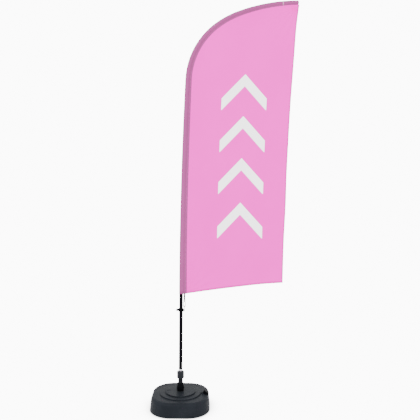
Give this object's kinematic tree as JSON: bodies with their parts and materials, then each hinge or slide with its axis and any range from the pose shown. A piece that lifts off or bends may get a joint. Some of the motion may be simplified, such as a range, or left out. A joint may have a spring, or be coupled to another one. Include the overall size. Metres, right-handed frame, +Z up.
{
  "type": "feather flag",
  "caption": "Feather-shaped beach flag on a bent pole that turns on a bearing spigot in a fillable square tank base.",
  "frame": {"origin": "where the pole's axis meets the floor, at the middle of the base", "axes": "+Z up the pole, +X from the pole towards the flag's free edge, the flag's face seen from -Y"},
  "size_m": [1.114, 0.45, 3.1082],
  "materials": {
    "tank_plastic": "satin",
    "knob_plastic": "satin",
    "black_plastic": "satin",
    "tube_plastic": "satin",
    "foot_rubber": "matte",
    "seal_rubber": "matte",
    "bright_steel": "polished",
    "turned_steel": "satin",
    "ball_steel": "polished",
    "pole_alu": "satin",
    "pole_fibre": "gloss",
    "ferrule_alu": "satin",
    "flag_cloth": "matte",
    "sleeve_cloth": "matte",
    "strap_web": "matte",
    "hook_metal": "gloss",
    "gate_metal": "polished"
  },
  "bodies": {
    "base": {"tank_shell": "tank_plastic", "base_feet": "foot_rubber", "centre_foot": "foot_rubber", "socket_collar": "black_plastic", "collar_gasket": "seal_rubber", "socket_tube": "tube_plastic", "foot_bolt": "turned_steel", "foot_washer": "turned_steel", "foot_nut": "turned_steel", "spindle": "turned_steel", "inner_races": "turned_steel", "bearing_spacer": "ferrule_alu", "circlip": "turned_steel"},
    "knob_washer": {"thrust_washer": "turned_steel"},
    "knob": {"clamp_knob": "knob_plastic"},
    "filler_washer": {"filler_seal": "seal_rubber"},
    "filler": {"filler_cap": "black_plastic"},
    "cages": {"bearing_balls": "ball_steel", "bearing_cages": "turned_steel"},
    "spigot": {"rotor": "bright_steel", "rotor_plug": "black_plastic", "outer_races": "turned_steel"},
    "pole": {"lower_pole": "pole_alu", "lower_ferrule": "ferrule_alu", "ferrule_collar": "ferrule_alu", "middle_pole": "pole_fibre", "upper_ferrule": "ferrule_alu", "reducer_collar": "ferrule_alu", "upper_rod": "pole_fibre", "tip_ferrule": "ferrule_alu", "tip_rod": "pole_fibre", "tip_cap": "seal_rubber", "pole_sleeve": "sleeve_cloth", "tip_pocket": "sleeve_cloth", "flag_panel": "flag_cloth", "tension_strap": "strap_web"},
    "collar": {"tension_collar": "black_plastic", "collar_liner": "seal_rubber", "snap_hook": "hook_metal", "gate_pin": "turned_steel", "swivel_eye": "gate_metal"},
    "gate": {"hook_gate": "gate_metal"},
    "thumb": {"thumb_knob": "black_plastic"},
    "plunger": {"clamp_plunger": "turned_steel"}
  },
  "joints": [
    {"name": "flag_spin", "type": "hinge", "parent": "base", "child": "spigot", "pos_m": [0, 0, 0.4], "axis": [0, 0, 1], "continuous": true},
    {"name": "cage_spin", "type": "hinge", "parent": "base", "child": "cages", "pos_m": [0, 0, 0.4], "axis": [0, 0, 1], "continuous": true},
    {"name": "pole_lift", "type": "slide", "parent": "spigot", "child": "pole", "axis": [0, 0, 1], "range_m": [0, 0.25]},
    {"name": "knob_turn", "type": "hinge", "parent": "base", "child": "knob_washer", "pos_m": [0, 0, 0.251], "axis": [0, 0, 1], "range_deg": [0, 720]},
    {"name": "knob_rise", "type": "slide", "parent": "knob_washer", "child": "knob", "axis": [0, 0, 1], "range_m": [0, 0.006]},
    {"name": "filler_turn", "type": "hinge", "parent": "base", "child": "filler_washer", "pos_m": [0.189, -0.016, 0.101], "axis": [0.5592, 0, 0.829], "range_deg": [0, 1080]},
    {"name": "filler_rise", "type": "slide", "parent": "filler_washer", "child": "filler", "axis": [0.5592, 0, 0.829], "range_m": [0, 0.018]},
    {"name": "collar_slide", "type": "slide", "parent": "pole", "child": "collar", "axis": [0, 0, 1], "range_m": [-0.04, 0], "deforming": ["tension_strap"]},
    {"name": "gate_swing", "type": "hinge", "parent": "collar", "child": "gate", "pos_m": [0.0192, 0, 0.7715], "axis": [0, 1, 0], "range_deg": [0, 25], "stiffness_Nm_per_rad": 0.01, "springref_deg": -11.46},
    {"name": "thumb_turn", "type": "hinge", "parent": "collar", "child": "thumb", "pos_m": [-0.028, 0, 0.735], "axis": [-1, 0, 0], "range_deg": [0, 720]},
    {"name": "plunger_slide", "type": "slide", "parent": "collar", "child": "plunger", "axis": [-1, 0, 0], "range_m": [0, 0.0016]}
  ],
  "couplings": [
    {"joint": "cage_spin", "follows": "flag_spin", "ratio": 0.58276},
    {"joint": "knob_rise", "follows": "knob_turn", "m_per_rad": 0.00047746},
    {"joint": "filler_rise", "follows": "filler_turn", "m_per_rad": 0.00095493},
    {"joint": "plunger_slide", "follows": "thumb_turn", "m_per_rad": 0.00012732}
  ]
}
